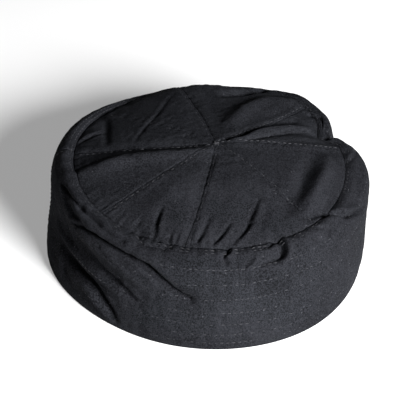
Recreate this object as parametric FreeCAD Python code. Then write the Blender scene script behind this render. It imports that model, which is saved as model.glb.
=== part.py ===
import FreeCAD, Part
import math
import os

# Low round cloth cap: a flat-topped crown of wedge panels on a row-stitched band.
# Millimetres. Origin: centre of the rim, on the plane that the cap rests on.
# +Z runs up to the crown, -Y is the front, and the band's ends are joined at -X.

# Overall form of the outer cloth.
rim_radius = 93.0          # outside of the band at its lower fold
wall_taper = 1.5           # how far the wall leans in between the rim and the shoulder
wall_height = 45.0         # rim to where the band starts to roll over
shoulder_inset = 14.5      # how far the rolled shoulder carries the crown seam inwards
shoulder_rise = 13.5       # height gained over the rolled shoulder
crown_rise = 11.5          # crown centre above the crown seam
panel_count = 8            # equal wedges in the crown

# Cloth thicknesses.
shell_cloth = 0.5
lining_cloth = 0.4
interlining_cloth = 0.8
facing_cloth = 0.4
binding_cloth = 0.6

# Hem and inside binding.
hem_turn = 9.0             # height of the shell's edge turned up inside the rim
binding_width = 8.0        # tape over the crown seam's raw edges

# Thread rows: each lies on the outer cloth as a narrow raised strip.
thread_width = 0.5
thread_height = 0.25
band_row_count = 7
first_row = 5.5            # rim to the lowest row, measured along the cloth
last_row_offset = 12.8     # crown seam back to the highest row
row_gap_growth = 0.14      # each gap between rows is wider than the one below by this share of the lowest
seam_row_offsets = (1.6, 4.0)   # rows beside the crown seam, measured back from it
panel_row_offset = 1.6     # row to one side of each panel seam
panel_row_gap = 3.0        # cloth left bare between a panel row and the crown seam
join_row_offset = 1.6      # upright row beside the join of the band's ends
join_row_gap = 1.0         # between the join's row and each row that it meets
tack_radius = 2.2          # cluster of crossed threads where the wedges meet
tack_height = 0.35
tack_clearance = 0.8       # between the tack and the start of each panel row

# Worked out from the sizes above.
shoulder_radius = rim_radius - wall_taper
seam_radius = shoulder_radius - shoulder_inset
seam_height = wall_height + shoulder_rise
wall_length = math.hypot(wall_taper, wall_height)
lean = math.atan2(wall_taper, wall_height)
dome_radius = (seam_radius ** 2 + crown_rise ** 2) / (2.0 * crown_rise)
dome_centre = seam_height + crown_rise - dome_radius
interlining_depth = shell_cloth + interlining_cloth
band_depth = interlining_depth + facing_cloth
hem_depth = band_depth + shell_cloth

# The shoulder is an arc that leaves the wall in line and ends on the crown seam.
shoulder_chord = shoulder_inset ** 2 + shoulder_rise ** 2
shoulder_reach = shoulder_inset * math.cos(lean) - shoulder_rise * math.sin(lean)
shoulder_arc = shoulder_chord / (2.0 * shoulder_reach)
arc_centre_r = shoulder_radius - shoulder_arc * math.cos(lean)
arc_centre_z = wall_height - shoulder_arc * math.sin(lean)

AXIS = FreeCAD.Vector(0, 0, 1)
CENTRE = FreeCAD.Vector(0, 0, 0)


def section(radius, height):
    """A point of the cap's cross-section, drawn in the XZ plane."""
    return FreeCAD.Vector(radius, 0, height)


def band_point(length, depth):
    """A point of the band, by its length up the cloth from the rim and its depth inwards."""
    if length <= wall_length:
        radius = rim_radius - length * math.sin(lean) - depth * math.cos(lean)
        height = length * math.cos(lean) - depth * math.sin(lean)
        return section(radius, height)
    turn = lean + (length - wall_length) / shoulder_arc
    reach = shoulder_arc - depth
    return section(arc_centre_r + reach * math.cos(turn), arc_centre_z + reach * math.sin(turn))


def length_at_height(height, depth):
    """Length up the wall at which a layer is at a given height."""
    return (height + depth * math.sin(lean)) / math.cos(lean)


def length_at_seam(depth):
    """Length up the band at which a layer reaches the crown seam."""
    turn = math.acos((seam_radius - arc_centre_r) / (shoulder_arc - depth))
    return wall_length + shoulder_arc * (turn - lean)


def band_run(depth, start, end):
    """Edges of one layer's line between two lengths, in order from start to end."""
    low, high = sorted((start, end))
    edges = []
    if low < wall_length:
        top = min(high, wall_length)
        edges.append(Part.makeLine(band_point(low, depth), band_point(top, depth)))
    if high > wall_length:
        bottom = max(low, wall_length)
        middle = (bottom + high) / 2.0
        points = [band_point(length, depth) for length in (bottom, middle, high)]
        edges.append(Part.Arc(*points).toShape())
    return edges if start <= end else edges[::-1]


def turned(edges, angle=360.0, start_angle=0.0):
    """A solid turned about the cap's axis from a closed outline."""
    wire = Part.Wire(Part.__sortEdges__(edges))
    solid = Part.Face(wire).revolve(CENTRE, AXIS, angle)
    solid.rotate(CENTRE, AXIS, start_angle)
    return solid


def band_outline(outer_depth, inner_depth, outer_span, inner_span):
    """Closed outline of a layer of the band between two depths."""
    outer = band_run(outer_depth, *outer_span)
    inner = band_run(inner_depth, *inner_span)
    foot = Part.makeLine(band_point(inner_span[0], inner_depth), band_point(outer_span[0], outer_depth))
    head = Part.makeLine(band_point(outer_span[1], outer_depth), band_point(inner_span[1], inner_depth))
    return outer + [head] + inner + [foot]


def band_layer(outer_depth, inner_depth, foot_height):
    """A cloth layer of the band, from a height above the rim up to the crown seam."""
    spans = [(length_at_height(foot_height, depth), length_at_seam(depth))
             for depth in (outer_depth, inner_depth)]
    return turned(band_outline(outer_depth, inner_depth, *spans))


def band_shell():
    """Outer cloth of the band: up to the crown seam outside, folded under and turned up inside."""
    outer_foot = length_at_height(0.0, 0.0)
    cavity_foot = length_at_height(shell_cloth, shell_cloth)
    turn_foot = length_at_height(shell_cloth, band_depth)
    turn_head = length_at_height(hem_turn, band_depth)
    inner_head = length_at_height(hem_turn, hem_depth)
    inner_foot = length_at_height(0.0, hem_depth)
    edges = band_run(0.0, outer_foot, length_at_seam(0.0))
    edges += band_run(shell_cloth, length_at_seam(shell_cloth), cavity_foot)
    edges += band_run(band_depth, turn_foot, turn_head)
    edges += band_run(hem_depth, inner_head, inner_foot)
    links = (
        (band_point(length_at_seam(0.0), 0.0), band_point(length_at_seam(shell_cloth), shell_cloth)),
        (band_point(cavity_foot, shell_cloth), band_point(turn_foot, band_depth)),
        (band_point(turn_head, band_depth), band_point(inner_head, hem_depth)),
        (band_point(inner_foot, hem_depth), band_point(outer_foot, 0.0)),
    )
    edges += [Part.makeLine(*link) for link in links]
    return turned(edges)


def seam_binding():
    """Tape inside the shoulder that covers the raw edges of the crown seam."""
    depth = band_depth + binding_cloth
    spans = [(length_at_seam(d) - binding_width, length_at_seam(d)) for d in (band_depth, depth)]
    return turned(band_outline(band_depth, depth, *spans))


def band_row(length):
    """A row of stitches round the outside of the band."""
    span = (length - thread_width / 2.0, length + thread_width / 2.0)
    return turned(band_outline(-thread_height, 0.0, span, span))


def row_lengths():
    """Lengths up the band of the rows round it, and of the rows beside the crown seam."""
    seam_length = length_at_seam(0.0)
    gaps = [1.0 + row_gap_growth * index for index in range(band_row_count - 1)]
    lowest_gap = (seam_length - last_row_offset - first_row) / sum(gaps)
    band = [first_row + lowest_gap * sum(gaps[:index]) for index in range(band_row_count)]
    seam = [seam_length - offset for offset in seam_row_offsets]
    return band, seam


def band_join_row():
    """The upright row beside the join of the band's ends at -X, in stretches from row to row."""
    width_angle = math.degrees(thread_width / shoulder_radius)
    start_angle = 180.0 + math.degrees(join_row_offset / shoulder_radius)
    rows = sorted(sum(row_lengths(), []))
    stretches = []
    for low_row, high_row in zip(rows, rows[1:]):
        span = (low_row + join_row_gap, high_row - join_row_gap)
        if span[1] - span[0] > thread_width:
            outline = band_outline(-thread_height, 0.0, span, span)
            stretches.append(turned(outline, width_angle, start_angle))
    return Part.makeCompound(stretches)


def dome_point(radius, depth):
    """A point of the crown, by its distance from the axis and its depth under the outer cloth."""
    reach = dome_radius - depth
    return section(radius, dome_centre + math.sqrt(reach ** 2 - radius ** 2))


def dome_arc(depth, outer_radius):
    points = [dome_point(outer_radius * share, depth) for share in (0.0, 0.5, 1.0)]
    return Part.Arc(*points).toShape()


def dome_layer(outer_depth, inner_depth, outer_radius, angle=360.0, start_angle=0.0):
    """A layer of the crown between two depths, out to a given distance from the axis."""
    middle = Part.makeLine(dome_point(0.0, outer_depth), dome_point(0.0, inner_depth))
    edge = Part.makeLine(dome_point(outer_radius, outer_depth), dome_point(outer_radius, inner_depth))
    arcs = [dome_arc(depth, outer_radius) for depth in (outer_depth, inner_depth)]
    return turned(arcs + [middle, edge], angle, start_angle)


def crown_row(start_angle):
    """A row of stitches along one side of a panel seam, from the centre tack to near the crown seam."""
    start = tack_radius + tack_clearance
    length = seam_radius - panel_row_gap - start
    corner = FreeCAD.Vector(start, panel_row_offset, seam_height)
    strip = Part.makeBox(length, thread_width, crown_rise + 2.0 * tack_height, corner)
    row = dome_layer(-thread_height, 0.0, seam_radius).common(strip)
    row.rotate(CENTRE, AXIS, start_angle)
    return row.Solids[0]


def cap_pieces():
    """Every piece of the cap by name."""
    wedge = 360.0 / panel_count
    pieces = {
        "band_shell": band_shell(),
        "band_interlining": band_layer(shell_cloth, interlining_depth, shell_cloth),
        "band_facing": band_layer(interlining_depth, band_depth, shell_cloth),
        "seam_binding": seam_binding(),
        "band_join_stitch": band_join_row(),
        "crown_lining": dome_layer(shell_cloth, shell_cloth + lining_cloth, seam_radius),
        "centre_tack": dome_layer(-tack_height, 0.0, tack_radius),
    }
    for index in range(panel_count):
        start = index * wedge
        pieces[f"crown_panel_{index + 1}"] = dome_layer(0.0, shell_cloth, seam_radius, wedge, start)
        pieces[f"crown_stitch_{index + 1}"] = crown_row(start)
    for kind, lengths in zip(("band_stitch", "seam_stitch"), row_lengths()):
        for index, length in enumerate(lengths):
            pieces[f"{kind}_{index + 1}"] = band_row(length)
    return pieces


os.makedirs("parts", exist_ok=True)
for name, shape in cap_pieces().items():
    if not shape.isValid() or not shape.Solids:
        raise ValueError(f"{name} is not sound")
    shape.exportStep(f"parts/{name}.step")
print(f"crown seam radius {seam_radius:.1f}, crown height {seam_height + crown_rise:.1f}")
print(f"shoulder arc {shoulder_arc:.2f}, cloth from rim to crown seam {length_at_seam(0.0):.1f}")
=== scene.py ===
import math

import bpy
import numpy as np
from mathutils import Matrix, Vector
from mathutils.bvhtree import BVHTree


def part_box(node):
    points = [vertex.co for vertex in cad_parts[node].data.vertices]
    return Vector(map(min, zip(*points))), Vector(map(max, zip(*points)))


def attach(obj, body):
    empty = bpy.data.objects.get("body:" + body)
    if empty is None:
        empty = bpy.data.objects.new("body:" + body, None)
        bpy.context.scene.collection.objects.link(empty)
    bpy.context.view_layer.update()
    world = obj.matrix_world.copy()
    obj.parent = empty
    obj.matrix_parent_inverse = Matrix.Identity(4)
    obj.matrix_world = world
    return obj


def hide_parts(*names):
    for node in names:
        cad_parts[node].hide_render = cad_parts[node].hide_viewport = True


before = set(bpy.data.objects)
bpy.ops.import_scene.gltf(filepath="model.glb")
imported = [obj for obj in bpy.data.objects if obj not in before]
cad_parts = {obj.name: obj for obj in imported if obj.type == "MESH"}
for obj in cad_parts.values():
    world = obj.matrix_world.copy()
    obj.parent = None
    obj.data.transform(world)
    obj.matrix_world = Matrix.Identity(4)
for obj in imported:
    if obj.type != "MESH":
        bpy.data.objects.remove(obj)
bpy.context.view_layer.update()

# Low round cloth cap: eight wedges of black twill on a band quilted with rows of stitches.
# The origin is at the middle of the rim, +Z runs up to the crown and -Y is the front.
# A place on the cap is a direction in degrees (0 at +X, 90 at the back) and a length of
# cloth up from the rim: over the shoulder, past the crown seam, to the centre.
# Lengths are in millimetres until a mesh or a light is made, which is in metres.
MM = 0.001
rng = np.random.default_rng(8)

# ---------------------------------------------------------------- the cap's plain form

seam_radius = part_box("crown_lining")[1].x / MM
crown_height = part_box("crown_panel_1")[1].z / MM
rim_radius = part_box("band_shell")[1].x / MM
wedge_count = 8
rim_ease = 0.9            # the soft rim stands this much inside the pattern's edge
seam_drop = 0.3           # and the crown seam this much lower
# Radius and height of the band's line, from the rim over the shoulder to the crown seam.
band_line = np.array([
    (rim_radius - rim_ease, 0.0), (92.8, 12.0), (92.2, 25.0), (91.3, 38.0), (90.2, 48.0),
    (86.5, 57.2), (81.6, 60.2), (seam_radius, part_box("band_shell")[1].z / MM - seam_drop),
])
band_steps = np.r_[0.0, np.cumsum(np.linalg.norm(np.diff(band_line, axis=0), axis=1))]
seam_up = band_steps[-1]
centre_up = seam_up + seam_radius
crown_rise = crown_height - band_line[-1, 1] - seam_drop
crown_shift = 2.6         # the crown's centre lies this far towards +X
back_drop = 0.075         # share of its height that the cap loses at the back


def smooth_line(knots, values, at):
    """A smooth line through values at knots, read at any places along it."""
    slope = np.gradient(values, knots, axis=0)
    i = np.clip(np.searchsorted(knots, at, side="right") - 1, 0, len(knots) - 2)
    step = (knots[i + 1] - knots[i])[:, None]
    t = np.clip((at - knots[i]) / step[:, 0], 0.0, 1.0)[:, None]
    rise = (2 * t ** 3 - 3 * t ** 2 + 1) * values[i] + (3 * t ** 2 - 2 * t ** 3) * values[i + 1]
    return rise + step * ((t ** 3 - 2 * t ** 2 + t) * slope[i] + (t ** 3 - t ** 2) * slope[i + 1])


def form(direction, up):
    """Points of the cap's plain form, for flat arrays of directions and lengths up."""
    angle, up = np.radians(direction), np.asarray(up, float)
    line = smooth_line(band_steps, band_line, np.minimum(up, seam_up))
    on_crown = up > seam_up
    radius = np.where(on_crown, centre_up - up, line[:, 0])
    fall = 1.0 - (radius / seam_radius) ** 2
    height = np.where(on_crown, band_line[-1, 1] + crown_rise * fall, line[:, 1])
    x = radius * np.cos(angle) + np.where(on_crown, crown_shift * fall, 0.0)
    y = radius * np.sin(angle)
    height = height * (1.0 - back_drop * np.clip(y / rim_radius, 0.0, None))
    return np.stack([x, y, height], axis=1)


# ---------------------------------------------------------------- pushes and folds

rim_stays = 6.0           # the rim isn't pushed up, and this length above it less and less so

# Broad pushes: direction, length up, spread in degrees, spread up, outwards, upwards.
PUSHES = (
    (215, 27, 26, 21, -6.6, 0.0),
    (27, 58, 7, 24, -8.5, -2.2),
    (56, 62, 21, 24, 2.2, 3.0),
    (126, 64, 26, 22, -0.6, -2.4),
    (109, 66, 5, 7, 0.2, 0.9),
    (4, 52, 12, 14, 1.8, 1.0),
    (-7, 61, 21, 7, -1.1, -3.4),
    (262, 108, 62, 24, 0.0, 3.0),
    (199, 86, 19, 22, 0.0, 2.2),
    (52, 68, 7, 10, 0.5, 2.2),
    (100, 72, 36, 16, 8.0, 0.0),
    (100, 62, 36, 8, 0.0, -6.2),
    (94, 77, 24, 11, 0.0, 2.0),
    (160, 71, 22, 10, -0.4, 1.2),
    (270, 61, 54, 7.0, 0.0, -3.6),
    (270, 74, 50, 8.0, -0.6, -0.1),
    (222, 74, 22, 9.0, 0.0, -0.6),
    (293, 47, 6, 9, -0.8, 0.0),
    (-75, 0, 45, 30, 1.4, 0.0),
    (206, 2, 24, 13, 3.0, 0.0),
    (-48, 6, 24, 22, 1.2, 0.0),
)

# Folds: places along the fold, its depth (a valley below zero), its width, and how much of its
# depth the cloth beside it stands up as a roll (to the left of the run, or to the right below zero).
# Soft folds shape the loose cloth; creases are pressed into it afterwards.
SOFT_FOLDS = (
    # the slanting hollow of the left side, and the drags below it
    (((203, 57), (213, 53), (223, 52), (231, 53), (238, 53), (245, 52), (252, 49), (259, 41), (266, 34)),
     -4.2, 3.0, 0.4),
    (((216, 44), (226, 44), (236, 42), (246, 37), (252, 33)), 1.6, 2.4, 0.0),
    (((214, 38), (226, 35), (233, 31), (241, 29), (248, 23)), -2.2, 2.4, 0.0),
    (((199, 31), (206, 27), (218, 26), (231, 26), (240, 25)), 2.8, 2.4, 0.0),
    (((202, 23), (209, 19), (218, 18), (229, 17), (237, 11), (241, 4)), -3.4, 2.4, 0.0),
    (((214, 13), (224, 13), (232, 10), (238, 5)), 2.0, 2.2, 0.0),
    (((208, 13), (215, 8), (222, 5)), -1.6, 2.2, 0.0),
    (((192, 46), (199, 36), (204, 22), (208, 8)), 1.2, 3.5, 0.0),
    # the ridges of the old flat fold, along the left and right seams
    (((15, 64), (11, 84), (8, 110), (8, 138)), 1.2, 3.2, 0.0),
    # hollow and ridge below the left seam
    (((196, 140), (188, 120), (186, 104), (185, 90), (185, 70)), -1.8, 4.0, 0.0),
    (((232, 138), (213, 123), (204, 108), (200, 94), (199, 80), (198, 66)), 3.4, 5.0, 0.0),
    (((152, 76), (160, 80), (170, 84), (178, 86)), -1.2, 2.6, 0.0),
    # hollows and ridges of the panels at the rear
    (((104, 138), (107, 112), (105, 92), (104, 72)), -1.1, 4.4, 0.0),
    (((84, 128), (92, 104), (96, 84)), -1.2, 6.0, 0.0),
    (((72, 118), (68, 98), (62, 84), (54, 76)), 3.6, 5.0, 0.0),
    (((148, 70), (157, 77), (168, 84)), -0.7, 4.0, 0.0),
    # the fold beside the seam at the right rear, and the bulge in front of it
    (((48, 136), (41, 128), (42, 114), (42, 98), (40, 84)), -2.4, 2.6, 0.0),
    (((20, 134), (33, 118), (33, 98), (31, 78)), 3.0, 2.8, 0.0),
    (((14, 124), (19, 108), (21, 94), (22, 80)), 1.0, 3.4, 0.0),
    (((58, 96), (54, 84), (52, 74)), 1.2, 4.0, 0.0),
    (((86, 84), (81, 82), (75, 78), (71, 70), (68, 62)), -3.4, 2.6, 0.0),
    # hollows and bulges of the right front
    (((358, 91), (342, 92), (328, 89), (314, 84)), -2.8, 4.4, 0.0),
    (((362, 80), (348, 82), (338, 82), (322, 79)), 3.8, 4.6, 0.0),
    (((334, 73), (326, 73), (316, 73)), -1.8, 2.5, 0.0),
    (((310, 64), (316, 57), (322, 60)), -0.9, 3.2, 0.0),
    (((314, 136), (311, 110), (313, 92)), 0.7, 4.0, 0.0),
    # the seam at the front, drawn in, with the cloth puffed beside it
    (((266, 134), (262, 112), (262, 94), (263, 72)), -1.3, 3.0, 0.0),
    (((244, 112), (242, 92), (240, 78)), 0.9, 6.0, 0.0),
    (((286, 110), (284, 94), (280, 84)), 0.8, 5.0, 0.0),
    (((335, 44), (339, 28), (336, 12)), -0.9, 4.0, 0.0),
)
CREASES = (
    (((200, 58), (205, 59), (212, 60), (219, 61), (226, 61), (233, 60), (240, 60)), -3.2, 1.3, 0.4),
    (((214, 46), (222, 51), (230, 53), (238, 53), (246, 52), (252, 50), (256, 46), (260, 40), (266, 34)),
     -3.4, 1.2, 0.5),
    (((243, 51), (250, 46), (256, 40), (262, 35)), -1.8, 1.0, 0.4),
    (((232, 48), (238, 45), (246, 39), (251, 36)), 1.3, 1.3, 0.0),
    (((226, 37), (233, 33), (241, 30), (247, 25)), -1.6, 1.2, 0.3),
    (((206, 28), (212, 27), (220, 26), (231, 26), (239, 25)), 0.9, 1.6, 0.0),
    (((210, 20), (220, 19), (229, 17), (236, 12), (240, 5)), -2.2, 1.3, 0.3),
    (((214, 17), (222, 15), (230, 11), (235, 6)), 1.2, 1.2, 0.0),
    (((205, 50), (207, 38), (212, 30)), -1.4, 1.6, 0.0),
    # gathered puckers along the crown seam at the front
    (((245, 86), (247, 77), (249, 70)), -2.2, 1.1, 0.5),
    (((240, 74), (246, 64), (250, 64), (256, 66)), -2.2, 1.7, 0.0),
    (((250, 73), (252, 67)), -1.3, 0.9, 0.3),
    (((255, 73), (257, 66)), -1.2, 0.9, 0.3),
    (((270, 86), (268, 76), (265, 70)), -1.5, 1.3, 0.4),
    (((281, 83), (277, 76), (273, 71)), -2.2, 0.9, 0.5),
    (((299, 94), (292, 85), (290, 81), (287, 77), (281, 71)), -2.8, 1.0, 0.5),
    (((302, 88), (298, 82), (294, 76)), -1.3, 1.5, 0.0),
    (((302, 93), (303, 83), (302, 73)), 1.2, 0.9, 0.0),
    (((299, 71), (300, 65), (299, 60), (296, 56), (290, 55)), -4.2, 1.5, 0.5),
    (((298, 69), (295, 66), (290, 66)), -1.4, 1.0, 0.3),
    (((277, 70), (279, 67), (277, 63), (278, 59)), -2.2, 1.0, 0.4),
    (((318, 64), (320, 60), (319, 55)), -1.8, 0.9, 0.5),
    (((325, 72), (329, 65), (333, 58), (338, 53), (345, 48)), -5.4, 1.4, 0.0),
    (((330, 67), (335, 60), (341, 55)), 1.2, 1.5, 0.0),
    (((316, 75), (322, 72), (329, 71)), -1.6, 1.2, 0.4),
    # the upright tuck through the upper rows
    (((289, 61), (287, 57), (285, 54), (286, 49), (285, 43)), 1.4, 1.0, -0.2),
    (((299, 54), (293, 52), (289, 47), (287, 41)), -1.1, 1.6, 0.0),
    (((299, 52), (299, 38), (298, 24)), -0.7, 1.3, 0.5),
    # small folds where the right rear is tucked in
    (((17, 126), (25, 113), (28, 98), (29, 84), (29, 73)), -1.8, 1.1, 0.3),
    (((43, 72), (38, 66), (31, 64)), -2.2, 1.0, 0.5),
    (((39, 66), (34, 62), (28, 60)), -2.0, 1.0, 0.5),
    (((26, 74), (24, 64), (24, 50), (25, 36)), -2.4, 1.6, -0.5),
    (((83, 84), (76, 79), (72, 70), (69, 63)), -3.2, 1.3, 0.0),
    # the pressed fold across the two panels at the left rear
    (((181, 101), (160, 102), (143, 100), (128, 94), (112, 82)), -0.9, 1.0, 0.3),
    (((4, 68), (8, 63), (14, 58)), -1.2, 1.1, 0.4),
    (((175, 70), (170, 74), (164, 80)), -1.6, 1.1, 0.4),
)


fold_reach = 5.0          # a fold is felt this many of its widths away
roll_place = 2.0          # its roll stands this many widths to the side
roll_width = 1.4          # and is this many widths wide
fold_ends = 0.12          # how far along its own swell a fold starts and ends
soft_sharpness = 2.0      # round-bottomed folds
crease_sharpness = 1.3    # folds that come to an edge


def bell(distance, width):
    """1 at no distance, falling off smoothly over a width."""
    return np.exp(-(distance / width) ** 2)


def bent_line(points, count=40):
    """Directions and lengths along a smooth line through a fold's places."""
    places = np.array(points, float)
    return smooth_line(np.arange(len(places), dtype=float), places, np.linspace(0, len(places) - 1, count))


def fold_moves(points, normals, fold, sharpness):
    """How far each point moves along its normal for one fold."""
    places, depth, width, roll = fold
    line = bent_line(places)
    path = form(line[:, 0], line[:, 1])
    tangent = np.gradient(path, axis=0)
    tangent /= np.linalg.norm(tangent, axis=1)[:, None]
    move = np.zeros(len(points))
    reach = fold_reach * width
    low, high = path.min(0) - reach, path.max(0) + reach
    near = np.flatnonzero(((points > low) & (points < high)).all(1))
    if not len(near):
        return move
    gap = points[near][:, None] - path[None]
    nearest = (gap ** 2).sum(2).argmin(1)
    offset = gap[np.arange(len(near)), nearest]
    along = (offset * tangent[nearest]).sum(1)
    beyond = np.where((nearest == 0) | (nearest == len(path) - 1), np.abs(along), 0.0)
    side = np.sign((np.cross(normals[near], tangent[nearest]) * offset).sum(1))
    across = side * np.sqrt(np.maximum((offset ** 2).sum(1) - along ** 2, 0.0))
    share = nearest / (len(path) - 1.0)
    swell = np.clip(fold_ends + (1.0 - 2.0 * fold_ends) * share, 0, 1)
    fade = np.sin(np.pi * swell) ** 0.7 * bell(beyond, width)
    valley = np.exp(-np.abs(across / width) ** sharpness)
    ridge = bell(across - math.copysign(roll_place, roll) * width, roll_width * width)
    move[near] = depth * fade * (valley - abs(roll) * ridge)
    return move


def pushed(points, direction, up):
    """The form with its broad pushes."""
    out = np.zeros_like(points)
    radial = np.stack([np.cos(np.radians(direction)), np.sin(np.radians(direction)), 0 * direction], axis=1)
    for at, at_up, spread, spread_up, outwards, upwards in PUSHES:
        turn = (direction - at + 180.0) % 360.0 - 180.0
        weight = np.exp(-(turn / spread) ** 2 - ((up - at_up) / spread_up) ** 2)[:, None]
        off_floor = np.clip(up / rim_stays, 0.0, 1.0)[:, None]
        out += weight * (radial * outwards + off_floor * np.array([0.0, 0.0, upwards]))
    return points + out


# ---------------------------------------------------------------- the worn surface

net_columns = 256
net_band_rows = 30
net_inner_radius = 2.0
net_crowding = 0.68       # the columns are halved once their gap is this share of the first
fewest_columns = 16
ring_gap = 0.95           # gap between the crown's rings, as a share of the columns' gap


def net_rings():
    """Each ring of the net as its length up and its number of points, fewer towards the centre."""
    rings = [(seam_up * row / net_band_rows, net_columns) for row in range(net_band_rows + 1)]
    radius, count = seam_radius, net_columns
    while radius > net_inner_radius:
        if radius < seam_radius * net_crowding * count / net_columns and count > fewest_columns:
            count //= 2
        radius -= ring_gap * 2.0 * math.pi * radius / count
        rings.append((centre_up - max(radius, 0.8), count))
    return rings


def net_faces(rings):
    """Faces between rings; where the count halves, a triangle and a quad to each inner point."""
    faces, start = [], 0
    for (_, outer), (_, inner) in zip(rings, rings[1:]):
        after = start + outer
        for i in range(inner):
            j = (i + 1) % inner
            if outer == inner:
                faces.append((start + i, start + j, after + j, after + i))
            else:
                far = (2 * i + 2) % outer
                faces.append((start + 2 * i, start + 2 * i + 1, after + i))
                faces.append((start + 2 * i + 1, start + far, after + j, after + i))
        start = after
    last = rings[-1][1]
    faces += [(start + i, start + (i + 1) % last, start + last) for i in range(last)]
    return faces


def mesh_object(name, points, faces):
    """An object with its own mesh."""
    mesh = bpy.data.meshes.new(name)
    mesh.from_pydata((np.asarray(points) * MM).tolist(), [], [tuple(map(int, face)) for face in faces])
    mesh.update()
    piece = bpy.data.objects.new(name, mesh)
    bpy.context.scene.collection.objects.link(piece)
    return piece


def mesh_points(piece):
    """An object's points."""
    points = np.zeros(len(piece.data.vertices) * 3)
    piece.data.vertices.foreach_get("co", points)
    return points.reshape(-1, 3) / MM


def mesh_normals(piece):
    """An object's outward normals."""
    normals = np.zeros(len(piece.data.vertices) * 3)
    piece.data.vertices.foreach_get("normal", normals)
    return normals.reshape(-1, 3)


def only(piece):
    """Selects one object and makes it the active one."""
    bpy.ops.object.select_all(action="DESELECT")
    piece.select_set(True)
    bpy.context.view_layer.objects.active = piece


def apply_modifiers(piece):
    """Makes an object's modifiers part of its mesh."""
    only(piece)
    for modifier in list(piece.modifiers):
        bpy.ops.object.modifier_apply(modifier=modifier.name)


def subdivided(piece, levels):
    """Rounds an object's mesh by dividing its faces."""
    modifier = piece.modifiers.new("smooth", "SUBSURF")
    modifier.levels = levels
    modifier.render_levels = levels
    apply_modifiers(piece)


def settle(net, held, frames=24):
    """Lets the cloth of the net sag and buckle by itself, held more or less firmly at each point."""
    group = net.vertex_groups.new(name="held")
    for step in range(11):
        chosen = np.flatnonzero(np.round(held * 10) == step)
        group.add([int(i) for i in chosen], step / 10.0, "REPLACE")
    modifier = net.modifiers.new("settle", "CLOTH")
    cloth = modifier.settings
    cloth.quality = 6
    cloth.mass = 0.05
    cloth.tension_stiffness = cloth.compression_stiffness = 18
    cloth.shear_stiffness = 6
    cloth.bending_stiffness = 0.35
    cloth.tension_damping = cloth.compression_damping = 12
    cloth.vertex_group_mass = "held"
    cloth.pin_stiffness = 0.6
    cloth.shrink_min = -0.02
    modifier.collision_settings.use_collision = False
    modifier.collision_settings.use_self_collision = False
    modifier.point_cache.frame_end = frames
    for step in range(1, frames + 1):
        bpy.context.scene.frame_set(step)
    apply_modifiers(net)
    bpy.context.scene.frame_set(1)


def hold_of(direction, up):
    """How firmly each point of the net is held, from 0 to 1: firm on the stitched seams and the rim."""
    loose_crown, quilted_band, wedge_seam, crown_seam, still = 0.35, 0.5, 0.7, 0.9, 1.0
    held = np.where(up <= seam_up, quilted_band, loose_crown)
    held[up < 8.0] = still
    held[np.abs(up - seam_up) < 1.5] = crown_seam
    radius = centre_up - up
    half_wedge = 180.0 / wedge_count
    turn = np.abs((direction + half_wedge) % (2.0 * half_wedge) - half_wedge)
    on_wedge_seam = (up > seam_up) & (np.radians(turn) * radius < 1.6)
    held[on_wedge_seam] = np.maximum(held[on_wedge_seam], wedge_seam)
    held[radius < 6.0] = still
    return held


class Worn:
    """The cap's surface as worn and crumpled, read at any place of its plain form."""

    def __init__(self):
        rings = net_rings()
        up = np.concatenate([np.full(count, height) for height, count in rings] + [[centre_up]])
        direction = np.concatenate([np.arange(count) * 360.0 / count for _, count in rings] + [[0.0]])
        faces = net_faces(rings)
        plain = mesh_object("plain_net", form(direction, up), faces)
        worn = mesh_object("worn_net", form(direction, up), faces)
        base, normals = mesh_points(plain), mesh_normals(plain)
        points = pushed(base, direction, up)
        firm = np.clip(up / 8.0, 0.0, 1.0)
        for fold in SOFT_FOLDS:
            points += (fold_moves(base, normals, fold, soft_sharpness) * firm)[:, None] * normals
        worn.data.vertices.foreach_set("co", (points * MM).ravel())
        worn.data.update()
        settle(worn, hold_of(direction, up))
        for net in (plain, worn):
            subdivided(net, 2)
        plain.data.calc_loop_triangles()
        triangles = np.zeros(len(plain.data.loop_triangles) * 3, np.int32)
        plain.data.loop_triangles.foreach_get("vertices", triangles)
        self.triangles = triangles.reshape(-1, 3)
        self.base, self.points = mesh_points(plain), mesh_points(worn)
        self.base_normals, self.normals = mesh_normals(plain), mesh_normals(worn)
        self.tree = BVHTree.FromPolygons(self.base.tolist(), self.triangles.tolist())
        bpy.data.objects.remove(plain)
        bpy.data.objects.remove(worn)

    def at(self, direction, up, depth=0.0):
        """Worn points, and their outward normals, at places of the plain form; depth goes inwards."""
        spots = form(np.ravel(direction), np.ravel(up))
        found = [self.tree.find_nearest(spot) for spot in spots.tolist()]
        where = np.array([hit[0][:] for hit in found])
        corner = self.triangles[[hit[2] for hit in found]]
        a, b, c = (self.base[corner[:, k]] for k in range(3))
        ab, ac, ap = b - a, c - a, where - a
        d00, d01, d11 = (ab * ab).sum(1), (ab * ac).sum(1), (ac * ac).sum(1)
        d20, d21 = (ap * ab).sum(1), (ap * ac).sum(1)
        below = np.maximum(d00 * d11 - d01 ** 2, 1e-12)
        v, w = (d11 * d20 - d01 * d21) / below, (d00 * d21 - d01 * d20) / below
        weights = np.stack([1.0 - v - w, v, w], axis=1)[:, :, None]
        point = (self.points[corner] * weights).sum(1)
        normal = (self.normals[corner] * weights).sum(1)
        normal /= np.linalg.norm(normal, axis=1)[:, None]
        return point - normal * np.ravel(depth)[:, None], normal


worn = Worn()

# ---------------------------------------------------------------- cloth pieces

shell_cloth = 0.5
inner_cloth = 0.4
interlining_cloth = 0.7
tape_cloth = 0.5
fold_radius = 1.1         # half the thickness of the folded hem
hem_turn = 9.0            # height of the shell turned up inside
floor_gap = 0.03          # the rim is never lower than this
band_row_count = 7
row_boxes = [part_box(f"band_stitch_{index + 1}") for index in range(band_row_count)]
row_heights = [(low.z + high.z) / 2 / MM for low, high in row_boxes]
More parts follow.
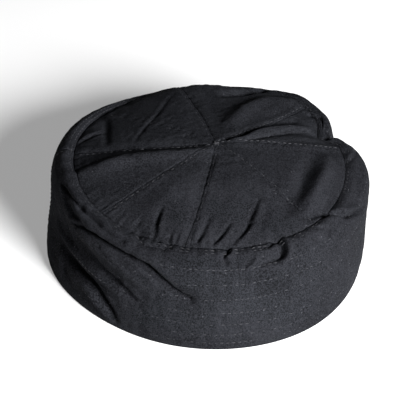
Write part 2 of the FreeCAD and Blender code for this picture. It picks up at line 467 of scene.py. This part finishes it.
# Length up of each row of stitches round the band, and of the two rows beside the crown seam.
row_ups = np.interp(row_heights, band_line[:-1, 1], band_steps[:-1])
seam_row_ups = seam_up - np.array([1.6, 4.0])
stitch_pitch = 3.2
beside_seam = 1.6         # from a wedge seam to its row of stitches
row_draw = 0.20           # how far a row of stitches draws the cloth in
seam_dip = 0.5            # how far the cloth turns down into the crown seam
seam_dip_width = 1.2
crown_gathers = 0.30      # height of the gathers just inside the crown seam
band_gathers = 0.10       # and of those just outside it
crush_depth = 1.15        # the layers inside give way this many times as deep as a crease
crush_width = 1.9         # and over this many times its width

# Direction in degrees of each wedge seam near the centre and where it meets the crown seam,
# and how proud of the cloth its stitches lie.
PANEL_SEAMS = (
    (8, 13, 0.08), (43, 46, 0.04), (103, 106, -0.14), (145, 146, -0.22),
    (186, 182, 0.08), (228, 223, -0.03), (265, 262, -0.14), (314, 318, -0.06),
)


def panel_seam(index, radius):
    """Direction of a wedge seam at a distance from the centre."""
    inner, outer, _ = PANEL_SEAMS[index % wedge_count]
    turn = 360.0 * (index // wedge_count)
    return turn + inner + (outer - inner) * (radius / seam_radius) ** 2


def grid_faces(rows, columns, closed=False):
    """Faces of a grid of points; a closed one joins its last column to its first."""
    faces = []
    for row in range(rows - 1):
        for column in range(columns - (0 if closed else 1)):
            after = (column + 1) % columns
            faces.append((row * columns + column, row * columns + after,
                          (row + 1) * columns + after, (row + 1) * columns + column))
    return faces


def cloth(name, points, cut, faces, thickness):
    """A sheet of cloth with its cut as its UV map in metres, and its thickness inwards."""
    piece = mesh_object(name, points, faces)
    layer = piece.data.uv_layers.new(name="cut")
    corner = np.zeros(len(piece.data.loops), np.int32)
    piece.data.loops.foreach_get("vertex_index", corner)
    layer.data.foreach_set("uv", (np.asarray(cut) * MM)[corner].ravel())
    thick = piece.modifiers.new("thickness", "SOLIDIFY")
    thick.thickness = thickness * MM
    thick.offset = -1.0
    apply_modifiers(piece)
    piece.data.polygons.foreach_set("use_smooth", np.ones(len(piece.data.polygons), bool))
    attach(piece, "root")
    return piece


def declared(piece, node, width, length, area):
    """Hides the model's part that a sheet stands for, and returns the sheet; its flat size is not used."""
    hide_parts(node)
    width * MM
    length * MM
    area * MM * MM
    return piece


def row_pinch(direction, up):
    """How far the rows of stitches draw the band's cloth in, deepest at each needle hole."""
    holes = np.cos(2.0 * np.pi * np.radians(direction) * rim_radius / stitch_pitch)
    pinch = sum(bell(up - row, 1.5) for row in row_ups) * row_draw
    pinch = pinch + sum(bell(up - row, 1.0) for row in seam_row_ups) * row_draw
    return pinch * (0.8 + 0.2 * holes)


def ripple(along, seed, shortest=3.5, longest=10.0):
    """Uneven gathers along a seam: a few waves of different lengths."""
    waves = np.random.default_rng(seed)
    total = np.zeros_like(along)
    for _ in range(6):
        total += np.sin(2.0 * np.pi * (along / waves.uniform(shortest, longest) + waves.random()))
    return total / 2.5


def creased(direction, up, normals):
    """How far the creases and the gathers of the crown seam move the outer cloth at each place."""
    spots = form(direction, up)
    turn = np.radians(direction % 360.0)
    along_seam = np.round(turn * seam_radius, 6)
    at_front = bell((direction % 360.0) - 272.0, 55.0)
    fade = np.sin(turn / 2.0) ** 0.2 * (0.45 + 0.75 * at_front)
    gathers = crown_gathers * fade * ripple(along_seam, 3) * bell(up - seam_up - 2.0, 5.5)
    gathers += band_gathers * fade * ripple(along_seam * rim_radius / seam_radius, 4) * (up < seam_up)
    return gathers + sum(fold_moves(spots, normals, fold, crease_sharpness) for fold in CREASES)


def crushed(direction, up, normals):
    """How far the layers inside give way behind the creases, wider and deeper than the creases."""
    spots = form(direction, up)
    crushes = [(places, crush_depth * depth, crush_width * width, 0.0)
               for places, depth, width, _ in CREASES if depth < 0]
    return sum(fold_moves(spots, normals, crush, soft_sharpness) for crush in crushes)


def crowded_directions(columns):
    """Directions all the way round, closest together at the front, where the creases are finest."""
    around = np.linspace(-180.0, 180.0, 721)
    crowding = 0.8 + 0.9 * bell(around + 95.0, 75.0)
    share = np.r_[0.0, np.cumsum(crowding[1:] + crowding[:-1])]
    return np.interp(np.linspace(0.0, share[-1], columns), share, around)


def hemmed_lines():
    """Each line of the outer strip as its length up and its depth: hem, rim and outside."""
    inside = np.linspace(hem_turn, fold_radius, 8)
    turns = np.linspace(0.0, math.pi, 7)[1:-1]
    upper = 40.0          # above this the lines lie closer together
    ups = np.r_[np.linspace(0.0, upper, 34)[:-1], np.linspace(upper, seam_up, 36)]
    lines = [(up, 2.0 * fold_radius) for up in inside]
    lines += [(fold_radius - fold_radius * math.sin(turn), fold_radius + fold_radius * math.cos(turn))
              for turn in turns]
    return lines + [(up, 0.0) for up in ups[ups > fold_radius]]


def band_cloth():
    """The outer strip: inside up to the hem's edge, round the rim, up to the crown seam."""
    columns = 540
    lines = hemmed_lines()
    up, direction = np.meshgrid([line[0] for line in lines], crowded_directions(columns), indexing="ij")
    up, direction = up.ravel(), direction.ravel()
    depth = np.repeat([line[1] for line in lines], columns)
    points, normals = worn.at(direction, up)
    moves = creased(direction, up, normals) - row_pinch(direction, up)
    crown_edge = seam_dip * bell(seam_up - up, seam_dip_width)
    join_groove = 0.5 * bell((180.0 - np.abs(direction)) * 1.6, 0.8)
    moves -= crown_edge + join_groove
    points = points + normals * (np.where(depth == 0.0, moves, 0.0) - depth)[:, None]
    points[:, 2] = np.maximum(points[:, 2], floor_gap)
    start = np.cumsum([0.0] + [math.hypot(a[0] - b[0], a[1] - b[1]) for a, b in zip(lines, lines[1:])])
    cut = np.stack([np.radians(180.0 + direction) * rim_radius, np.repeat(start, columns)], axis=1)
    piece = cloth("band_shell_cloth", points, cut, grid_faces(len(lines), columns), shell_cloth)
    width, length = 2.0 * math.pi * rim_radius, start[-1]
    return declared(piece, "band_shell", width, length, 0.95 * width * length)


def crown_wedge(index):
    """One wedge of the crown, its edges turned down into the seams on each side of it."""
    columns, rows = 65, 100
    edge_crowding = 0.48      # how much closer the columns stand beside the seams
    share = np.linspace(0.0, 1.0, columns)
    share = share - edge_crowding * np.sin(2.0 * np.pi * share) / (2.0 * np.pi)
    radii, shares = np.meshgrid(np.linspace(seam_radius, 0.9, rows), share, indexing="ij")
    radii, shares = radii.ravel(), shares.ravel()
    first, last = panel_seam(index, radii), panel_seam(index + 1, radii)
    direction = first + (last - first) * shares
    up = centre_up - radii
    points, normals = worn.at(direction, up)
    from_first = np.radians(direction - first) * radii
    from_last = np.radians(last - direction) * radii
    wide = np.minimum(np.radians(last - first) * radii / 6.0, 1.0)
    groove = 0.35 * wide * (bell(from_first, 0.6) + bell(from_last, 0.6))
    allowance = 0.25 * wide * bell(from_first - 3.0, 2.2)
    pinch = 0.2 * wide * bell(from_first - beside_seam, 0.7)
    edge = seam_dip * bell(seam_radius - radii, seam_dip_width)
    gathers = ripple(radii, index) * bell(from_first, 3.5)
    gathers += ripple(radii, index % wedge_count + 1) * bell(from_last, 3.5)
    moves = creased(direction, up, normals) + allowance - groove - pinch - edge + 0.16 * wide * gathers
    points = points + normals * moves[:, None]
    middle = math.radians((panel_seam(index, 40.0) + panel_seam(index + 1, 40.0)) / 2.0)
    angle = np.radians(direction) - middle
    cut = np.stack([radii * np.sin(angle), radii * np.cos(angle)], axis=1)
    piece = cloth(f"crown_panel_cloth_{index + 1}", points, cut, grid_faces(rows, columns), shell_cloth)
    part_way = seam_radius * 0.7
    spread = math.radians(panel_seam(index + 1, part_way) - panel_seam(index, part_way))
    width = 2.0 * seam_radius * math.sin(spread / 2.0)
    area = spread * seam_radius ** 2 / 2.0
    return declared(piece, f"crown_panel_{index + 1}", width, seam_radius, area)


def band_liner(name, node, depth, low, high, rows, thickness):
    """A strip inside the band at a depth, between two lengths up."""
    columns = 300
    up, direction = np.meshgrid(np.linspace(low, high, rows), np.linspace(-180.0, 180.0, columns),
                                indexing="ij")
    up, direction = up.ravel(), direction.ravel()
    points, normals = worn.at(direction, up, np.full(len(up), depth))
    points += normals * crushed(direction, up, normals)[:, None] * (1.0 + 0.12 * depth)
    cut = np.stack([np.radians(180.0 + direction) * rim_radius, up], axis=1)
    piece = cloth(name, points, cut, grid_faces(rows, columns), thickness)
    radius = rim_radius if low < seam_up / 2 else seam_radius + 4.0
    width, length = 2.0 * math.pi * radius, high - low
    return declared(piece, node, width, length, width * length * 0.95)


def crown_lining():
    """The disc of lining under the wedges."""
    columns, rows, depth = 120, 34, 1.7
    radius = np.linspace(seam_radius - 0.6, 0.8, rows)
    radii, direction = np.meshgrid(radius, np.arange(columns) * 360.0 / columns, indexing="ij")
    radii, direction = radii.ravel(), direction.ravel()
    up = centre_up - radii
    points, normals = worn.at(direction, up, np.full(len(up), depth))
    points += normals * crushed(direction, up, normals)[:, None] * 1.2
    cut = np.stack([radii * np.cos(np.radians(direction)), radii * np.sin(np.radians(direction))], axis=1)
    centre_face = tuple(range((rows - 1) * columns, rows * columns))
    faces = grid_faces(rows, columns, True) + [centre_face]
    piece = cloth("crown_lining_cloth", points, cut, faces, inner_cloth)
    width = 2.0 * seam_radius
    return declared(piece, "crown_lining", width, width, math.pi * seam_radius ** 2)


# ---------------------------------------------------------------- thread

stitch_length = 2.5
thread_radius = 0.19
thread_sink = 0.20        # how deep in its groove a row of the band lies
# Thickness of a stitch, and how far it dives, at the middle, near the end and at the end.
stitch_shares = [0.0, 0.6, 1.0]
stitch_widths = [1.0, 0.95, 0.45]
stitch_dives = [0.0, 0.08, 0.42]


def one_stitch():
    """One stitch along +X, thin at both ends, where it dives into the cloth."""
    bpy.ops.object.select_all(action="DESELECT")
    bpy.ops.mesh.primitive_cylinder_add(
        vertices=6, radius=thread_radius * MM, depth=stitch_length * MM, rotation=(0, math.pi / 2, 0))
    stitch = bpy.context.object
    stitch.name = "one_stitch"
    bpy.ops.object.transform_apply(location=True, rotation=True, scale=True)
    bpy.ops.object.mode_set(mode="EDIT")
    for cut in (-0.3, 0.0, 0.3):
        bpy.ops.mesh.select_all(action="SELECT")
        bpy.ops.mesh.bisect(plane_co=(cut * stitch_length * MM, 0, 0), plane_no=(1, 0, 0))
    bpy.ops.object.mode_set(mode="OBJECT")
    points = mesh_points(stitch)
    share = np.abs(points[:, 0]) / (stitch_length / 2.0)
    points[:, 1:] *= np.interp(share, stitch_shares, stitch_widths)[:, None]
    points[:, 2] -= np.interp(share, stitch_shares, stitch_dives)
    faces = [tuple(polygon.vertices) for polygon in stitch.data.polygons]
    bpy.data.objects.remove(stitch)
    return points, faces


STITCH, STITCH_FACES = one_stitch()


def thread_row(name, node, places, normals, lift=0.05):
    """A row of stitches: one copy of the stitch between each pair of places, lifted off the cloth."""
    lift = np.broadcast_to(lift, len(places))
    start, end = places[:-1], places[1:]
    along = end - start
    size = np.linalg.norm(along, axis=1)
    along /= size[:, None]
    out = normals[:-1] + normals[1:]
    out -= (out * along).sum(1)[:, None] * along
    out /= np.linalg.norm(out, axis=1)[:, None]
    aside = np.cross(out, along)
    middle = (start + end) / 2.0
    scale = 0.92 + 0.16 * rng.random(len(middle))
    drift = (rng.random(len(middle)) - 0.5) * 0.12
    points, faces = [], []
    for i in range(len(middle)):
        move = (STITCH[:, :1] * scale[i]) * (along[i] + drift[i] * aside[i])
        move = move + STITCH[:, 1:2] * aside[i] + (STITCH[:, 2:] + lift[i]) * out[i]
        faces += [tuple(len(STITCH) * i + v for v in face) for face in STITCH_FACES]
        points.append(middle[i] + move)
    piece = mesh_object(name, np.concatenate(points), faces)
    piece.data.polygons.foreach_set("use_smooth", np.ones(len(piece.data.polygons), bool))
    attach(piece, "root")
    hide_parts(node)
    return piece


def band_thread(name, node, up, radius, shown=0.0):
    """A row of stitches round the band, in the groove that it draws, and shown more at the left rear."""
    count = int(round(2.0 * math.pi * radius / stitch_pitch))
    direction = np.linspace(-180.0, 180.0, count + 1)
    ups = np.full(count + 1, up)
    points, normals = worn.at(direction, ups)
    moves = creased(direction, ups, normals) - row_pinch(direction, ups) * 0.9
    uneven = ripple(np.radians(direction) * radius, int(up * 10), 15, 60)
    at_front, at_left_rear = bell(direction + 82.0, 20.0), bell(direction - 150.0, 26.0)
    lift = -thread_sink + 0.13 * at_front + 0.05 * uneven + shown * at_left_rear
    return thread_row(name, node, points + normals * moves[:, None], normals, lift)


def panel_thread(index):
    """The row beside a wedge seam, from the centre to the crown seam."""
    start, end = 3.0, seam_radius - 2.0
    radius = np.linspace(start, end, int((end - start) / stitch_pitch) + 1)
    direction = panel_seam(index, radius) + np.degrees(beside_seam / radius)
    up = centre_up - radius
    points, normals = worn.at(direction, up)
    moves = creased(direction, up, normals)
    return thread_row(f"crown_thread_{index + 1}", f"crown_stitch_{index + 1}",
                      points + normals * moves[:, None], normals, PANEL_SEAMS[index][2])


def join_thread():
    """The upright row beside the join of the band's ends."""
    low, high = 8.0, seam_up - 6.0
    up = np.linspace(low, high, int((high - low) / stitch_pitch) + 1)
    beside_join = 181.2
    direction = np.full(len(up), beside_join)
    points, normals = worn.at(direction, up)
    return thread_row("band_join_thread", "band_join_stitch", points, normals)


def centre_thread():
    """Crossed threads where the wedges meet, going out and back past the middle."""
    middle, normal = worn.at(np.array([0.0]), np.array([centre_up - 0.5]))
    points = []
    for index in range(10):
        turn = math.radians(panel_seam(index, 3.0) + rng.uniform(-14, 14))
        reach = rng.uniform(1.6, 2.6)
        for away in (reach, -0.5 * reach):
            points.append(middle[0] + np.array([away * math.cos(turn), away * math.sin(turn), 0.15]))
    normals = np.repeat(normal, len(points), axis=0)
    return thread_row("centre_tack_thread", "centre_tack", np.array(points), normals, lift=0.2)


# ---------------------------------------------------------------- materials

class Socket:
    """A socket in a material, so that shader maths reads as plain expressions."""

    def __init__(self, maker, socket):
        self.maker, self.socket = maker, socket

    def _math(self, operation, a, b):
        return self.maker.node("ShaderNodeMath", {"operation": operation}, {0: a, 1: b})

    def __add__(self, other):
        return self._math("ADD", self, other)

    def __mul__(self, other):
        return self._math("MULTIPLY", self, other)

    __radd__, __rmul__ = __add__, __mul__


class Maker:
    """Builds one material's nodes."""

    def __init__(self, name):
        self.material = bpy.data.materials.new(name)
        self.material.use_nodes = True
        self.tree = self.material.node_tree
        self.tree.nodes.clear()

    def node(self, kind, settings=(), inputs=(), output=0):
        """Adds a node, sets it, fills its inputs with values or sockets, and returns one output."""
        node = self.tree.nodes.new(kind)
        for key, value in dict(settings).items():
            setattr(node, key, value)
        for key, value in dict(inputs).items():
            if isinstance(value, Socket):
                self.tree.links.new(value.socket, node.inputs[key])
            else:
                node.inputs[key].default_value = value
        return Socket(self, node.outputs[output]) if node.outputs else node

    def shader(self, **inputs):
        """Ends the material with a Principled shader."""
        named = {key.replace("_", " "): value for key, value in inputs.items()}
        shader = self.node("ShaderNodeBsdfPrincipled", {}, named)
        self.node("ShaderNodeOutputMaterial", {}, {"Surface": shader})
        return self.material

    def cut(self):
        """A place on the flat cloth."""
        return self.node("ShaderNodeUVMap", {"uv_map": "cut"})

    def noise(self, where, scale, detail=2.0, roughness=0.5):
        """Uneven tone."""
        return self.node("ShaderNodeTexNoise", {}, {
            "Vector": where, "Scale": scale, "Detail": detail, "Roughness": roughness})

    def step(self, value, low, high, to_low=0.0, to_high=1.0):
        """A value spread from one range to another, and held inside it."""
        return self.node("ShaderNodeMapRange", {"clamp": True}, {
            "Value": value, "From Min": low, "From Max": high, "To Min": to_low, "To Max": to_high})


BLACK = (0.0024, 0.0025, 0.0030, 1.0)
WORN_BLACK = (0.0185, 0.0193, 0.0228, 1.0)
LINING_BLACK = (0.003, 0.003, 0.0035, 1.0)
LINING_GREY = (0.013, 0.013, 0.015, 1.0)
STIFF_DARK = (0.012, 0.012, 0.013, 1.0)
STIFF_GREY = (0.03, 0.03, 0.032, 1.0)
THREAD_DARK = (0.013, 0.0133, 0.0155, 1.0)
THREAD_GREY = (0.036, 0.036, 0.041, 1.0)
LINT = (0.07, 0.07, 0.08, 1.0)
TWILL_WALE = 740.0
PLAIN_WALE = 340.0


def woven(name, dark, light, wale, sheen):
    """Black woven cloth: slanting wales, uneven yarns, soft fading and a little lint."""
    m = Maker(name)
    cut, place = m.cut(), m.node("ShaderNodeTexCoord", {}, {}, "Object")
    wales = m.node("ShaderNodeTexWave", {"wave_type": "BANDS", "bands_direction": "DIAGONAL"}, {
        "Vector": cut, "Scale": wale, "Distortion": 2.0, "Detail": 1.0, "Detail Scale": 2.0})
    yarn = m.noise(cut, 1900.0, 2.0, 0.7)
    grain = m.noise(place, 1300.0, 2.0, 0.8)
    fade = m.noise(place, 30.0, 4.0, 0.65)
    tone = (wales * 0.12 + m.step(yarn, 0.3, 0.7) * 0.25 + m.step(grain, 0.38, 0.62) * 0.75
            + m.step(fade, 0.35, 0.68) * 0.30)
    colour = m.node("ShaderNodeMix", {"data_type": "RGBA"}, {
        0: m.step(tone, 0.25, 1.15), 6: dark, 7: light}, 2)
    speck = m.node("ShaderNodeTexVoronoi", {"feature": "F1"}, {"Vector": place, "Scale": 300.0}, "Distance")
    chosen = m.noise(place, 190.0, 0.0)
    lint = m.step(speck, 0.16, 0.06) * m.step(chosen, 0.60, 0.66)
    colour = m.node("ShaderNodeMix", {"data_type": "RGBA"}, {0: lint * 0.55, 6: colour, 7: LINT}, 2)
    height = wales * 0.5 + yarn * 0.35 + grain * 0.9
    normal = m.node("ShaderNodeBump", {}, {"Strength": 0.8, "Distance": 0.0004, "Height": height})
    return m.shader(Base_Color=colour, Roughness=m.step(grain, 0.3, 0.7, 0.92, 0.74), Normal=normal,
                    Specular_IOR_Level=0.015, Sheen_Weight=sheen, Sheen_Roughness=0.45,
                    Sheen_Tint=(0.75, 0.8, 0.95, 1.0))


def thread_finish():
    """Spun black thread, a little lighter than the cloth."""
    m = Maker("thread_finish")
    place = m.node("ShaderNodeTexCoord", {}, {}, "Object")
    ply = m.noise(place, 1400.0, 1.0)
    colour = m.node("ShaderNodeMix", {"data_type": "RGBA"}, {
        0: m.step(ply, 0.3, 0.7), 6: THREAD_DARK, 7: THREAD_GREY}, 2)
    normal = m.node("ShaderNodeBump", {}, {"Strength": 0.4, "Distance": 0.0002, "Height": ply})
    return m.shader(Base_Color=colour, Roughness=0.5, Normal=normal,
                    Specular_IOR_Level=0.15, Sheen_Weight=0.05, Sheen_Roughness=0.4)


def dressed(pieces, material):
    """Gives pieces one material."""
    for piece in pieces:
        piece.data.materials.clear()
        piece.data.materials.append(material)


# ---------------------------------------------------------------- making it

shell_pieces = [band_cloth()] + [crown_wedge(index) for index in range(wedge_count)]
# Strips inside the band: name, node, depth, lowest and highest length up, rows, thickness.
lining_pieces = [
    band_liner("band_facing_cloth", "band_facing",
               1.5, 1.0, seam_up - 0.8, 34, inner_cloth),
    band_liner("seam_binding_tape", "seam_binding",
               2.1, seam_up - 9.0, seam_up + 1.5, 8, tape_cloth),
    crown_lining(),
]
interlining_pieces = [
    band_liner("band_interlining_cloth", "band_interlining",
               0.6, 1.4, seam_up - 1.2, 34, interlining_cloth),
]
threads = [band_thread(f"band_thread_{i + 1}", f"band_stitch_{i + 1}", up, rim_radius)
           for i, up in enumerate(row_ups)]
threads += [band_thread(f"seam_thread_{i + 1}", f"seam_stitch_{i + 1}", up, seam_radius + 3.0, 0.22)
            for i, up in enumerate(seam_row_ups)]
threads += [panel_thread(index) for index in range(wedge_count)]
threads += [join_thread(), centre_thread()]

dressed(shell_pieces, woven("black_twill", BLACK, WORN_BLACK, TWILL_WALE, 0.004))
dressed(lining_pieces, woven("black_cotton_lining", LINING_BLACK, LINING_GREY, PLAIN_WALE, 0.004))
dressed(interlining_pieces, woven("stiff_interlining", STIFF_DARK, STIFF_GREY, PLAIN_WALE, 0.01))
dressed(threads, thread_finish())


# ---------------------------------------------------------------- floor, light and camera

def floor():
    """A plain pale floor."""
    bpy.ops.object.select_all(action="DESELECT")
    bpy.ops.mesh.primitive_plane_add(size=8.0, location=(0, 0, 0))
    plane = bpy.context.object
    plane.name = "floor"
    m = Maker("pale_floor")
    plane.data.materials.append(m.shader(
        Base_Color=(0.55, 0.55, 0.55, 1.0), Roughness=0.9, Emission_Color=(1.0, 1.0, 1.0, 1.0),
        Emission_Strength=0.33))


def key_light():
    """One soft round lamp, to the right of the front."""
    place, aim = Vector((0.756, -0.901, 0.64)), Vector((0, 0, 0.04))
    light = bpy.data.lights.new("key", "AREA")
    light.shape, light.size, light.energy = "DISK", 0.5, 75.0
    lamp = bpy.data.objects.new("key", light)
    lamp.location = place
    lamp.rotation_euler = (aim - place).to_track_quat("-Z", "Y").to_euler()
    bpy.context.scene.collection.objects.link(lamp)


def camera():
    """Looks down at the front, slightly tipped."""
    distance, tilt, roll = 0.75, math.radians(38.44), math.radians(3.29)
    target = Vector((0.0005, 0.0, 0.0233))
    ahead = Vector((0.0, math.cos(tilt), -math.sin(tilt)))
    level = Vector((1.0, 0.0, 0.0))
    above = level.cross(ahead)
    across = math.cos(roll) * level + math.sin(roll) * above
    upright = -math.sin(roll) * level + math.cos(roll) * above
    lens = bpy.data.cameras.new("camera")
    lens.lens, lens.sensor_width = 111.35, 36.0
    eye = bpy.data.objects.new("camera", lens)
    turn = Matrix((across, upright, -ahead)).transposed()
    eye.matrix_world = Matrix.Translation(target - ahead * distance) @ turn.to_4x4()
    bpy.context.scene.collection.objects.link(eye)
    bpy.context.scene.camera = eye


def room():
    """Almost no light from the room itself."""
    world = bpy.data.worlds.new("room")
    bpy.context.scene.world = world
    world.use_nodes = True
    background = world.node_tree.nodes["Background"]
    background.inputs["Color"].default_value = (0.95, 0.97, 1.0, 1.0)
    background.inputs["Strength"].default_value = 0.02
    bpy.context.scene.view_settings.view_transform = "Standard"


floor()
room()
key_light()
camera()
